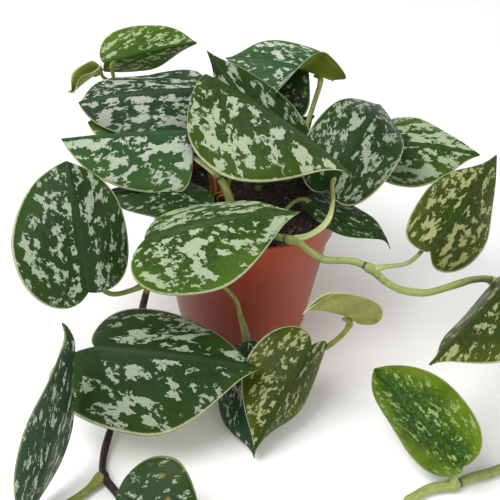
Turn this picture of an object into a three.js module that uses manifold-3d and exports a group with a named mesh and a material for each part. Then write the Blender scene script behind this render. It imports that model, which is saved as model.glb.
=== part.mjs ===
// Potted satin pothos: a tapered nursery pot filled with soil, short crown stems, trailing
// vines with their petioles, and heart-shaped leaf blades.
// Millimetres, +Z up. The origin is the centre of the pot's flat underside.

import * as THREE from 'three';
import { mergeVertices } from 'three/addons/utils/BufferGeometryUtils.js';
import Module from 'manifold-3d';

// --- Driving dimensions -------------------------------------------------------------------

const potHeight = 98;
const rimRadius = 60;
const baseRadius = 44;
const collarHeight = 18;
const collarStep = 3; // how far the collar stands out past the wall below it
const lipRound = 0.8;
const baseRound = 1.5;
const wall = 2.2;
const floorThickness = 3;
const drainHoles = 6;
const drainRadius = 4;
const drainCircle = 28;
const soilLevel = 86;
const soilDome = 2;
const clearance = 0.3;

const bladeThickness = 1.2;
const bladeRows = 9;
const bladeColumns = 6;
const widestAt = 0.36; // share of the blade's length, from the sinus, where it is widest
const petioleGap = 1; // from a petiole's side to the underside of its blade

const stemSides = 8;
const petioleSides = 7;
const petioleRadius = 1.5;
const petioleReach = 8; // depth below the blade from which a petiole comes up to it

// --- Materials ----------------------------------------------------------------------------

const potPlastic = new THREE.MeshStandardMaterial({ color: 0x8c4636, roughness: 0.5 });
const pottingSoil = new THREE.MeshStandardMaterial({ color: 0x221913, roughness: 1 });
const stemGreen = new THREE.MeshStandardMaterial({ color: 0x8ea257, roughness: 0.55 });
const drySheath = new THREE.MeshStandardMaterial({ color: 0xb9742f, roughness: 0.8 });
const leafGreen = new THREE.MeshStandardMaterial({ color: 0x3c6437, roughness: 0.45 });
const youngGreen = new THREE.MeshStandardMaterial({ color: 0x93a054, roughness: 0.5 });

// --- Leaves -------------------------------------------------------------------------------
// base is the sinus, where the petiole joins; tip is the far end of the midrib. face is the
// way the upper surface looks. fold is how far the left and right halves turn down from the
// midrib, in degrees, seen from above with the tip ahead; a margin turns down by cup more.
// arch is the rise of the midrib and lobe the depth of the basal lobes, both as shares of the
// length. skew makes the left half wider and the right half narrower.

const leaves = {
  leaf_back_left_high: {
    base: [-89, 55, 161], tip: [-36, 75, 166], width: 50, face: [0, -0.75, 0.66],
    arch: 0.05, fold: [8, 68], cup: 6, lobe: 0.12, stalk: [[-89, 51, 150], [-90, 53, 158]],
  },
  leaf_back_left_young: {
    base: [-98, 58, 152], tip: [-115, 42, 143], width: 22, face: [-0.3, -0.6, 0.75],
    arch: 0.05, fold: [-45, -45], cup: -25, lobe: 0.08, young: true,
  },
  leaf_left_upper: {
    base: [-27, 36, 151], tip: [-107, 26, 146], width: 60, face: [0, -0.3, 0.95],
    arch: 0.05, fold: [34, 10], cup: 8, lobe: 0.06,
  },
  leaf_left_under: {
    base: [-38, 41, 125], tip: [-103, 27, 131], width: 44, face: [0, -0.3, 0.95],
    arch: 0.05, fold: [14, 14], cup: 10, lobe: 0.12,
  },
  leaf_left_folded: {
    base: [-34, 8, 139], tip: [-111, -12, 142], width: 80, face: [0, -0.1, 1],
    arch: 0.02, fold: [56, 66], cup: 0, lobe: 0, stalk: [[-37, 5, 126], [-35, 8, 134]],
  },
  leaf_left_low: {
    base: [-26, -8, 103.5], tip: [-86, -18, 107], width: 42, face: [0, -0.25, 0.97],
    arch: 0.03, fold: [6, 30], cup: 4, lobe: 0.1,
  },
  leaf_left_hanging: {
    base: [-88, -88, 89], tip: [-97, -45, 150], width: 78, face: [0.25, -0.75, 0.6],
    arch: 0.05, fold: [12, 12], cup: 8, lobe: 0.14, skew: 0.08,
  },
  leaf_front_centre: {
    base: [-54, -80, 119], tip: [31, -72, 135], width: 78, face: [0, -0.3, 0.95],
    arch: 0.07, fold: [26, 28], cup: 10, lobe: 0.12,
  },
  leaf_crown: {
    base: [-17, 18, 161], tip: [62, -46, 147], width: 86, face: [0.1, -0.25, 1],
    arch: 0.05, fold: [74, 42], cup: 2, lobe: 0.09, skew: -0.14,
    stalk: [[-13, 14, 146], [-16, 17, 154]],
  },
  leaf_crown_back: {
    base: [29, 12, 117], tip: [-26, 57, 167], width: 56, face: [-0.3, -0.75, 0.6],
    arch: 0.04, fold: [10, 36], cup: 6, lobe: 0.12,
  },
  leaf_back_right_high: {
    base: [47, 58, 162], tip: [-9, 62, 145], width: 60, face: [0, -0.35, 0.93],
    arch: 0.08, fold: [78, 2], cup: 6, lobe: 0.2, stalk: [[45, 50, 149], [46.5, 54, 158]],
  },
  leaf_right_round: {
    base: [54, -25, 125], tip: [84, 35, 138], width: 62, face: [0.1, -0.55, 0.83],
    arch: 0.22, fold: [10, 10], cup: 12, lobe: 0.12, stalk: [[53, -36, 117], [52.4, -29, 122.4]],
  },
  leaf_back_right_inner: {
    base: [9, 62, 123], tip: [40, 88, 149], width: 48, face: [0.1, -0.5, 0.85],
    arch: 0.05, fold: [10, 10], cup: 6, lobe: 0.12,
  },
  leaf_inner_small: {
    base: [20, 38, 124], tip: [44, 52, 126], width: 28, face: [0, -0.2, 1],
    arch: 0.05, fold: [10, 10], cup: 10, lobe: 0.12,
  },
  leaf_right_back: {
    base: [84, 32, 115], tip: [151, 24, 114], width: 60, face: [0, -0.3, 0.95],
    arch: 0.05, fold: [4, 20], cup: 6, lobe: 0.12,
  },
  leaf_right_low: {
    base: [40.4, -23.6, 109], tip: [89, -47, 98.4], width: 32, face: [0.1, -0.7, 0.7],
    arch: 0.05, fold: [40, 26], cup: 4, lobe: 0.08, skew: 0.3,
    stalk: [[30, -18, 104], [36, -20, 108.6]],
  },
  leaf_right_far: {
    base: [111, -60, 109], tip: [156, 5, 128], width: 66, face: [0.35, -0.5, 0.8],
    arch: 0.05, fold: [26, 14], cup: 10, lobe: 0.12, skew: -0.1,
  },
  leaf_right_edge: {
    base: [156, -84, 107], tip: [106, -127, 77], width: 70, face: [0.1, -0.65, 0.75],
    arch: 0.04, fold: [8, 84], cup: 4, lobe: 0.12, stalk: [[163, -74, 100], [159, -80, 107]],
  },
  leaf_right_ground: {
    base: [125, -156, 27], tip: [80, -108, 47], width: 53, face: [0.1, -0.72, 0.7],
    arch: 0.04, fold: [50, 4], cup: 4, lobe: 0.1,
  },
  leaf_front_young: {
    base: [63, -88, 62], tip: [62, -104, 98], width: 48, face: [0, 0.9, 0.4],
    arch: 0.05, fold: [14, 14], cup: 10, lobe: 0.03, skew: -0.1, young: true,
  },
  leaf_front_olive: {
    base: [43, -100, 59], tip: [14, -138, 10], width: 62, face: [-0.2, -0.75, 0.62],
    arch: 0.05, fold: [60, 4], cup: 6, lobe: 0.16, skew: -0.05, stalk: [[41, -92, 50], [42.3, -96.9, 57]],
  },
  leaf_front_dark: {
    base: [2, -80, 34], tip: [10, -137, 6], width: 50, face: [-0.3, -0.75, 0.5],
    arch: 0.05, fold: [10, 10], cup: 8, lobe: 0.12,
  },
  leaf_left_large: {
    base: [-83, -110, 64], tip: [13, -116, 56], width: 92, face: [0, -0.4, 0.9],
    arch: 0.04, fold: [24, 16], cup: 8, lobe: 0.14, skew: -0.04,
  },
  leaf_left_narrow: {
    base: [-107, -180, 21], tip: [-92, -120, 86], width: 54, face: [0.85, -0.45, 0.3],
    arch: 0.05, fold: [-6, 24], cup: 0, lobe: 0.12,
  },
  leaf_front_ground: {
    base: [-59, -190, 25], tip: [-14, -204, 24], width: 54, face: [0, -0.6, 0.8],
    arch: 0.05, fold: [4, -10], cup: 4, lobe: 0.12, skew: 0.12,
  },
  leaf_back_left_trailing: {
    base: [-32, 78, 92], tip: [-50, 100, 24], width: 60, face: [-0.1, 1, 0.3],
    arch: 0.06, fold: [12, 12], cup: 8, lobe: 0.13,
  },
  leaf_back_right_trailing: {
    base: [32, 78, 94], tip: [34, 106, 28], width: 64, face: [0.1, 1, 0.3],
    arch: 0.06, fold: [14, 12], cup: 8, lobe: 0.13,
  },
};

// --- Stems --------------------------------------------------------------------------------
// Each stem is one growth: a main run, side runs that start inside it, and petioles that start
// inside it and end under their blade. The main runs start just above the soil.

const stems = {
  crown_left: {
    radius: 2.6,
    main: [[-14, 6, 89.6], [-18, 20, 98], [-30, 48, 108], [-52, 68, 118], [-76, 70, 130], [-90, 66, 138]],
    sides: [],
    petioles: {
      leaf_back_left_high: [[-87, 67, 136], [-89, 59, 142]],
      leaf_back_left_young: [[-86, 67, 136], [-97, 64, 142]],
      leaf_left_upper: [[-18, 20, 98], [-18, 29, 118]],
      leaf_left_under: [[-20, 26, 99], [-30, 40, 108]],
      leaf_crown: [[-14, 6, 90], [-10, 1, 112], [-10, 5, 132]],
    },
  },
  crown_front: {
    radius: 3,
    main: [[-8, -8, 88.6], [-11, -8, 103], [-19, -2, 116]],
    sides: [],
    petioles: {
      leaf_left_folded: [[-18, -3, 114]],
      leaf_left_low: [[-9, -8, 92]],
    },
  },
  crown_right: {
    radius: 2.6,
    main: [[8, 16, 89.6], [9, 22, 99], [12, 30, 110]],
    sides: [],
    petioles: {
      leaf_crown_back: [[9, 22, 98], [21, 25, 103]],
      leaf_back_right_high: [[11, 27, 105], [36, 26, 110], [52, 36, 126], [49, 47, 142]],
      leaf_back_right_inner: [[11, 28, 107], [9, 46, 111]],
      leaf_inner_small: [[12, 29, 108], [15, 33, 113]],
      leaf_right_back: [[9, 20, 96], [38, 24, 97], [62, 32, 102]],
    },
  },
  back_vine: {
    radius: 2.3,
    main: [[0, 36, 88.8], [0, 52, 98], [0, 64, 103], [0, 71, 98]],
    sides: [],
    petioles: {
      leaf_back_left_trailing: [[-1, 67, 101], [-16, 65, 99]],
      leaf_back_right_trailing: [[1, 67, 101], [16, 65, 99]],
    },
  },
  left_vine: {
    radius: 2.4,
    main: [
      [-20, -18, 89.4], [-34, -34, 97], [-43, -46, 102.5], [-50, -56, 92], [-57, -63, 71],
      [-61, -66, 55], [-63, -68, 44], [-67, -80, 27], [-73, -102, 10], [-77, -124, 4.6],
      [-78, -140, 4.2], [-76, -154, 4.6], [-67, -166, 4.6], [-62, -174, 5],
    ],
    sides: [[[-66, -78, 30], [-52, -76, 18], [-30, -66, 9], [4, -61, 8], [28, -70, 12], [40, -78, 26], [44, -83, 38]]],
    petioles: {
      leaf_left_hanging: [[-57, -62, 73], [-66, -70, 73], [-78, -75, 74]],
      leaf_left_large: [[-69, -88, 20], [-75, -98, 34]],
      leaf_left_narrow: [[-76, -154, 4.6], [-85, -166, 4], [-98, -177, 4], [-110, -183, 5]],
      leaf_front_ground: [[-63, -173, 5], [-62, -182, 10]],
      leaf_front_centre: [[4, -61, 8], [4, -66, 30], [0, -71, 54], [-5, -74, 74], [-30, -74, 98]],
      leaf_front_dark: [[2, -62, 9], [1, -68, 18]],
      leaf_front_olive: [[43, -81, 33]],
      leaf_front_young: [[43, -82, 35], [56, -84, 42], [64, -94, 50]],
    },
  },
  right_vine: {
    radius: 2.3,
    main: [
      [6, -22, 89.4], [15, -42, 97], [24, -54, 103.5], [33, -60, 105], [40, -66, 103], [48, -70, 101],
      [59, -74, 104], [66, -78, 106], [73, -82, 105], [82, -86, 99], [90, -90, 97], [104, -90, 95],
      [113, -88, 96], [123, -83, 96], [136, -73, 92], [150, -63, 83], [166, -64, 68], [179, -84, 46],
      [180, -108, 24], [168, -132, 7], [150, -143, 4.6], [136, -148, 4.6], [126, -153, 4.6], [112, -156, 4.2],
      [96, -166, 4],
    ],
    sides: [],
    petioles: {
      leaf_right_low: [[13, -38, 95], [21, -26, 97]],
      leaf_right_round: [[28, -57, 104], [41, -53, 107], [50, -45, 111]],
      leaf_right_far: [[73, -82, 105], [81, -80, 105], [97, -70, 101]],
      leaf_right_edge: [[150, -63, 83], [161, -66, 89]],
      leaf_right_ground: [[126, -153, 4.6]],
    },
  },
};

// --- Joining and cutting ------------------------------------------------------------------

const wasm = await Module();
wasm.setup();

function toSolid(geometry) {
  const bare = new THREE.BufferGeometry();
  bare.setAttribute('position', geometry.getAttribute('position'));
  bare.setIndex(geometry.getIndex());
  const merged = mergeVertices(bare, 1e-4);
  const mesh = new wasm.Mesh({
    numProp: 3,
    vertProperties: merged.getAttribute('position').array,
    triVerts: new Uint32Array(merged.getIndex().array),
  });
  return new wasm.Manifold(mesh);
}

function toGeometry(solid) {
  const mesh = solid.getMesh();
  const geometry = new THREE.BufferGeometry();
  geometry.setAttribute('position', new THREE.BufferAttribute(mesh.vertProperties, 3));
  geometry.setIndex(new THREE.BufferAttribute(mesh.triVerts, 1));
  geometry.computeVertexNormals();
  return geometry;
}

function named(name, geometry, material) {
  const mesh = new THREE.Mesh(geometry, material);
  mesh.name = name;
  return mesh;
}

// --- Pot and soil -------------------------------------------------------------------------

// A profile in radius and height, turned about the vertical axis.
function turned(profile, segments) {
  const points = profile.map(([radius, height]) => new THREE.Vector2(radius, height));
  const geometry = new THREE.LatheGeometry(points, segments);
  geometry.rotateX(Math.PI / 2);
  return geometry;
}

const collarFoot = potHeight - collarHeight;
const wallTopRadius = rimRadius - collarStep;
const collarInside = rimRadius - wall - 0.8;

function innerRadius(height) {
  const share = height / collarFoot;
  return baseRadius + (wallTopRadius - baseRadius) * share - wall;
}

function makePot() {
  let pot = toSolid(turned([
    [0, 0],
    [baseRadius - baseRound, 0],
    [baseRadius, baseRound],
    [wallTopRadius, collarFoot],
    [rimRadius - 1, collarFoot + 0.6],
    [rimRadius, potHeight - lipRound],
    [rimRadius - lipRound, potHeight],
    [rimRadius - wall, potHeight],
    [collarInside, collarFoot + 1],
    [innerRadius(collarFoot - 1), collarFoot - 1],
    [innerRadius(floorThickness), floorThickness],
    [0, floorThickness],
  ], 48));
  for (let i = 0; i < drainHoles; i += 1) {
    const angle = (2 * Math.PI * i) / drainHoles;
    const drill = new THREE.CylinderGeometry(drainRadius, drainRadius, 3 * floorThickness, 12);
    drill.rotateX(Math.PI / 2);
    drill.translate(drainCircle * Math.cos(angle), drainCircle * Math.sin(angle), floorThickness / 2);
    pot = pot.subtract(toSolid(drill));
  }
  return named('pot', toGeometry(pot), potPlastic);
}

function makeSoil() {
  const foot = floorThickness + clearance;
  const bend = collarFoot - 1;
  const edge = collarInside - 0.2 - clearance;
  const profile = [
    [0, foot],
    [innerRadius(foot) - clearance, foot],
    [innerRadius(bend) - clearance, bend + clearance],
    [edge - 0.2, collarFoot + 2],
    [edge, soilLevel - 1],
    [edge - 8, soilLevel - 0.4],
    [edge / 2, soilLevel + soilDome * 0.6],
    [0, soilLevel + soilDome * 0.8],
  ];
  return named('soil', turned(profile, 36), pottingSoil);
}

// --- Leaf blades --------------------------------------------------------------------------

function cubic(a, b, c, d, q) {
  const p = 1 - q;
  return p * p * p * a + 3 * p * p * q * b + 3 * p * q * q * c + q * q * q * d;
}

// Half of a heart-shaped outline, from the sinus at s = 0 round the lobe to the tip at s = 1:
// two cubic arcs that meet where the blade is widest. Both results are shares of 1.
function outline(s, lobe) {
  if (s < 0.5) {
    const q = 2 * s;
    return [cubic(0, -2 * lobe, -0.9 * lobe, widestAt, q), cubic(0, 0.25, 1, 1, q)];
  }
  const q = 2 * s - 1;
  return [cubic(widestAt, 0.6, 0.9, 1, q), cubic(1, 1, 0.4, 0, q)];
}

function leafFrame(leaf) {
  const base = new THREE.Vector3(...leaf.base);
  const along = new THREE.Vector3(...leaf.tip).sub(base);
  const length = along.length();
  along.normalize();
  const up = new THREE.Vector3(...leaf.face).normalize();
  up.addScaledVector(along, -up.dot(along)).normalize();
  const left = new THREE.Vector3().crossVectors(up, along);
  return { base, along, up, left, length };
}

// A point of the blade at s along the outline and t across, from -1 at the right margin to 1
// at the left one, lifted by the given height off the middle surface.
function bladePoint(leaf, frame, s, t, lift) {
  const side = Math.sign(t);
  const k = Math.abs(t);
  const [reach, spread] = outline(s, leaf.lobe);
  const rib = s ** 1.8;
  const forward = frame.length * (rib + (reach - rib) * k ** 1.2);
  const half = (leaf.width / 2) * (1 + (leaf.skew ?? 0) * side);
  const across = half * spread * k;
  const turn = THREE.MathUtils.degToRad((t > 0 ? leaf.fold[0] : leaf.fold[1]) + leaf.cup * k);
  const u = forward / frame.length;
  const tilt = side * Math.sin(turn) * lift;
  const rise = leaf.arch * frame.length * 4 * u * (1 - u) - across * Math.sin(turn);
  return frame.base.clone()
    .addScaledVector(frame.along, forward)
    .addScaledVector(frame.left, side * across * Math.cos(turn) + tilt)
    .addScaledVector(frame.up, rise + (side === 0 ? 1 : Math.cos(turn)) * lift);
}

// The blade is a lens in section: an upper and a lower skin that share the margin, the sinus
// and the tip.
function makeBlade(name, leaf) {
  const frame = leafFrame(leaf);
  const half = bladeThickness / 2;
  const vertices = [];
  const faces = [];
  const push = (point) => vertices.push(point.x, point.y, point.z) / 3 - 1;
  const skins = [1, -1].map((skin) => {
    const rows = [];
    for (let i = 1; i < bladeRows; i += 1) {
      const row = [];
      for (let j = 0; j <= bladeColumns; j += 1) {
        const t = (2 * j) / bladeColumns - 1;
        const lift = skin * half * (1 - t * t);
        row.push(push(bladePoint(leaf, frame, i / bladeRows, t, lift)));
      }
      rows.push(row);
    }
    return rows;
  });
  const sinus = push(bladePoint(leaf, frame, 0, 0, 0));
  const tip = push(bladePoint(leaf, frame, 1, 0, 0));
  skins.forEach((rows, index) => {
    const face = (a, b, c) => faces.push(...(index === 0 ? [a, b, c] : [a, c, b]));
    for (let j = 0; j < bladeColumns; j += 1) {
      face(sinus, rows[0][j], rows[0][j + 1]);
      face(tip, rows.at(-1)[j + 1], rows.at(-1)[j]);
      for (let i = 0; i < rows.length - 1; i += 1) {
        face(rows[i][j], rows[i + 1][j], rows[i + 1][j + 1]);
        face(rows[i][j], rows[i + 1][j + 1], rows[i][j + 1]);
      }
    }
  });
  const geometry = new THREE.BufferGeometry();
  geometry.setAttribute('position', new THREE.Float32BufferAttribute(vertices, 3));
  geometry.setIndex(faces);
  geometry.computeVertexNormals();
  return named(name, geometry, leaf.young ? youngGreen : leafGreen);
}

// --- Stems and petioles -------------------------------------------------------------------

function makeTube(points, radius, sides, steps) {
  const path = new THREE.CatmullRomCurve3(points.map((p) => new THREE.Vector3(...p)), false, 'centripetal');
  const section = new THREE.Shape();
  for (let i = 0; i < sides; i += 1) {
    const angle = (2 * Math.PI * i) / sides;
    const [x, y] = [radius * Math.cos(angle), radius * Math.sin(angle)];
    if (i === 0) section.moveTo(x, y);
    else section.lineTo(x, y);
  }
  return toSolid(new THREE.ExtrudeGeometry(section, { steps, extrudePath: path, curveSegments: 1 }));
}

// A petiole comes up under its blade and stops below the sinus, clear of the underside. Where
// a folded blade leaves no room for that, its stalk gives the last two points instead.
function petioleEnd(leaf) {
  if (leaf.stalk) return leaf.stalk;
  const frame = leafFrame(leaf);
  const drop = petioleRadius + bladeThickness / 2 + petioleGap;
  const under = (depth, ahead) => frame.base.clone()
    .addScaledVector(frame.up, -depth)
    .addScaledVector(frame.along, ahead)
    .toArray();
  return [under(drop + petioleReach, 0.5 * petioleReach), under(drop, 0.5)];
}

function makeStem(name, stem) {
  let solid = makeTube(stem.main, stem.radius, stemSides, 3 * (stem.main.length - 1));
  for (const run of stem.sides) {
    solid = solid.add(makeTube(run, stem.radius * 0.9, stemSides, 3 * (run.length - 1)));
  }
  for (const [leafName, route] of Object.entries(stem.petioles)) {
    const points = [...route, ...petioleEnd(leaves[leafName])];
    solid = solid.add(makeTube(points, petioleRadius, petioleSides, 2 * (points.length - 1) + 1));
  }
  return named(name, toGeometry(solid), stemGreen);
}

// A dead leaf sheath that stands in the soil by the crown.
function makeDrySheath() {
  const sheath = new THREE.CylinderGeometry(0.8, 2.2, 24, 8);
  sheath.rotateX(Math.PI / 2);
  sheath.rotateY(THREE.MathUtils.degToRad(-6));
  sheath.translate(-21, 6, 100.6);
  return named('dry_sheath', sheath, drySheath);
}

// --- Assembly -----------------------------------------------------------------------------

const plant = new THREE.Group();
plant.add(makePot(), makeSoil(), makeDrySheath());
for (const [name, stem] of Object.entries(stems)) plant.add(makeStem(name, stem));
for (const [name, leaf] of Object.entries(leaves)) plant.add(makeBlade(name, leaf));

export default plant;
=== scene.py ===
import math

import bpy
import numpy as np
from mathutils import Matrix


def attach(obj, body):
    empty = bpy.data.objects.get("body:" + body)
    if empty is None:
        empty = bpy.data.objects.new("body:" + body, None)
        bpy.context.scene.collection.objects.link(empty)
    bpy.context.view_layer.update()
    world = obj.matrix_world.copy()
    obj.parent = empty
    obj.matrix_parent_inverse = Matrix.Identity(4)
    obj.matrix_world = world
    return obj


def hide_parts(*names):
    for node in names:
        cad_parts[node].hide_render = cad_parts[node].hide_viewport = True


# Potted satin pothos: every new piece is a surface worked out here in millimetres, with +Z up and
# the origin at the centre of the pot's underside, and goes into its mesh in metres.

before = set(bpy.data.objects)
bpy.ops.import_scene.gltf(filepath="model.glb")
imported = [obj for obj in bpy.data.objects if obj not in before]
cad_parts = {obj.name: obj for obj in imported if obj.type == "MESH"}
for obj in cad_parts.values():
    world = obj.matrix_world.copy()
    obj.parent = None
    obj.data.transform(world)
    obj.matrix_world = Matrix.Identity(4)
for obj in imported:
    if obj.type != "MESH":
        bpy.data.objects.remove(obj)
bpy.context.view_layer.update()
mm = 0.001


# Small tools for shapes.

def unit(vector):
    return vector / np.linalg.norm(vector, axis=-1, keepdims=True)


def smooth(low, high, value):
    # 0 below low, 1 above high, an S-shaped rise between
    x = np.clip((value - low) / (high - low), 0.0, 1.0)
    return x * x * (3.0 - 2.0 * x)


def hill(value, width):
    # a bell-shaped hill of height 1 at 0
    return np.exp(-((value / width) ** 2))


def ripple(points, size, seed):
    # smooth bumps from -1 to 1: a sum of eight plane sine waves with set random directions
    rng = np.random.default_rng(seed)
    total = np.zeros(points.shape[:-1])
    for _ in range(8):
        direction = unit(rng.normal(size=3)) * rng.uniform(0.6, 1.6)
        total += np.sin(points @ direction * (2.0 * math.pi / size) + rng.uniform(0.0, 2.0 * math.pi))
    return total / 4.0


def gridFaces(index, closedAcross=False):
    # quads between the neighbouring rows and columns of a grid of vertex numbers
    if closedAcross:
        index = np.hstack([index, index[:, :1]])
    corners = [index[:-1, :-1], index[1:, :-1], index[1:, 1:], index[:-1, 1:]]
    return np.stack(corners, axis=-1).reshape(-1, 4).tolist()


def fanFaces(pole, ring, flip=False):
    # triangles from a pole to the neighbouring vertices of a row
    pairs = np.stack([ring[:-1], ring[1:]], axis=-1)
    if flip:
        pairs = pairs[:, ::-1]
    poles = np.full((len(pairs), 1), pole)
    return np.hstack([poles, pairs]).tolist()


def tubeFaces(index, first, last):
    # a grid closed across, with its first and last rows each closed on one point
    loop = np.hstack([index, index[:, :1]])
    faces = gridFaces(index[:, ::-1], closedAcross=True)
    return faces + fanFaces(first, loop[0], flip=True) + fanFaces(last, loop[-1])


def addObject(name, data):
    made = bpy.data.objects.new(name, data)
    bpy.context.scene.collection.objects.link(made)
    return made


def makePiece(name, points, faces, attributes, material, nodes):
    # one smooth mesh from points in millimetres, with its named values at each vertex
    mesh = bpy.data.meshes.new(name)
    mesh.from_pydata((points * mm).tolist(), [], faces)
    for key, values in attributes.items():
        values = np.asarray(values, dtype=np.float32)
        kind = "FLOAT" if values.ndim == 1 else "FLOAT_VECTOR"
        layer = mesh.attributes.new(key, kind, "POINT")
        layer.data.foreach_set("value" if kind == "FLOAT" else "vector", values.ravel())
    mesh.polygons.foreach_set("use_smooth", np.ones(len(mesh.polygons), dtype=bool))
    mesh.materials.append(material)
    mesh.validate()
    piece = addObject(name, mesh)
    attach(piece, "root")
    if nodes:
        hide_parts(*nodes)
    return piece


# Small tools for materials.

def put(tree, kind, inputs=None, **settings):
    # a node with its settings; an input takes a socket as a link and anything else as its value
    node = tree.nodes.new(kind)
    for key, value in settings.items():
        setattr(node, key, value)
    for key, value in (inputs or {}).items():
        if isinstance(value, bpy.types.NodeSocket):
            tree.links.new(value, node.inputs[key])
        else:
            node.inputs[key].default_value = value
    return node


def calc(tree, operation, first, second=0.0):
    return put(tree, "ShaderNodeMath", {0: first, 1: second}, operation=operation).outputs[0]


def times(tree, first, second):
    return calc(tree, "MULTIPLY", first, second)


def plus(tree, first, second):
    return calc(tree, "ADD", first, second)


def minus(tree, first, second):
    return calc(tree, "SUBTRACT", first, second)


def blend(tree, share, first, second):
    # a colour between first, at share 0, and second, at share 1
    node = put(tree, "ShaderNodeMix", {0: share, 6: first, 7: second}, data_type="RGBA")
    return node.outputs[2]


def step(tree, value, low, high):
    # 0 below low, 1 above high
    node = put(tree, "ShaderNodeMapRange", {"Value": value, "From Min": low, "From Max": high},
               interpolation_type="SMOOTHSTEP")
    return node.outputs[0]


def noise(tree, vector, scale, detail=3.0, roughness=0.55, distortion=0.0):
    inputs = {"Vector": vector, "Scale": scale, "Detail": detail, "Roughness": roughness,
        "Distortion": distortion}
    return put(tree, "ShaderNodeTexNoise", inputs).outputs["Fac"]


def attribute(tree, name, output="Fac"):
    return put(tree, "ShaderNodeAttribute", attribute_name=name).outputs[output]


def partsOf(tree, vector):
    return put(tree, "ShaderNodeSeparateXYZ", {0: vector}).outputs


def colour(red, green, blue):
    return (red, green, blue, 1.0)


def newGroup(name, inputs, outputs):
    # an empty node group with named sockets, and its two end nodes
    tree = bpy.data.node_groups.new(name, "ShaderNodeTree")
    for key, kind in inputs.items():
        tree.interface.new_socket(key, in_out="INPUT", socket_type=kind)
    for key, kind in outputs.items():
        tree.interface.new_socket(key, in_out="OUTPUT", socket_type=kind)
    return tree, tree.nodes.new("NodeGroupInput").outputs, tree.nodes.new("NodeGroupOutput").inputs


def placeGroup(tree, group, inputs):
    return put(tree, "ShaderNodeGroup", inputs, node_tree=group).outputs


def newMaterial(name, **fixed):
    # a material, its nodes, its shader with the fixed values set, and the object's own coordinates
    material = bpy.data.materials.new(name)
    material.use_nodes = True
    tree = material.node_tree
    shader = tree.nodes["Principled BSDF"]
    for key, value in fixed.items():
        shader.inputs[key.replace("_", " ")].default_value = value
    return material, tree, shader, put(tree, "ShaderNodeTexCoord").outputs["Object"]


def wear(tree, shader, body, rough, height, distance, strength):
    # link a surface's colour, its roughness, and its height as a bump of the given distance
    normal = put(tree, "ShaderNodeBump",
        {"Height": height, "Distance": distance, "Strength": strength}).outputs[0]
    for key, value in (("Base Color", body), ("Roughness", rough), ("Normal", normal)):
        tree.links.new(value, shader.inputs[key])


# Node groups that more than one material uses.

def makeGrainGroup():
    # fine cells: small raised grains between thin sunken lines, with a slow change of tone over them
    tree, given, out = newGroup("fineGrain", {"Vector": "NodeSocketVector", "Scale": "NodeSocketFloat"},
                                {"Height": "NodeSocketFloat", "Tone": "NodeSocketFloat"})
    cells = put(tree, "ShaderNodeTexVoronoi", {"Vector": given["Vector"], "Scale": given["Scale"]})
    slow = noise(tree, given["Vector"], times(tree, given["Scale"], 0.06), 4.0, 0.6)
    tree.links.new(minus(tree, 1.0, cells.outputs["Distance"]), out["Height"])
    tree.links.new(slow, out["Tone"])
    return tree


def makeDirtGroup():
    # soil dust: patches of broad noise broken up by fine noise, thick where the given share is high
    tree, given, out = newGroup("soilDust", {"Vector": "NodeSocketVector", "Share": "NodeSocketFloat"},
                                {"Dust": "NodeSocketFloat"})
    broad = noise(tree, given["Vector"], 70.0, 3.0, 0.6)
    fine = noise(tree, given["Vector"], 900.0, 4.0, 0.7)
    both = plus(tree, broad, times(tree, fine, 0.7))
    level = plus(tree, both, given["Share"])
    tree.links.new(step(tree, level, 1.25, 1.6), out["Dust"])
    return tree


silverSizes = {
    "lean": 0.55, "acrossCount": 13.5, "alongCount": 9.0, "ragged": (1.3, 1.1, 0.0), "fineScale": 2.6,
    "coarseShare": 0.60, "fineShare": 0.28, "broadShare": 0.45, "sideShift": 7.3, "highLimit": 1.10,
    "bandWidth": 0.12, "bandTaper": -0.06, "ribWeight": 0.4, "edgeWeight": 0.12, "coverWeight": 0.7,
}


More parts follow.
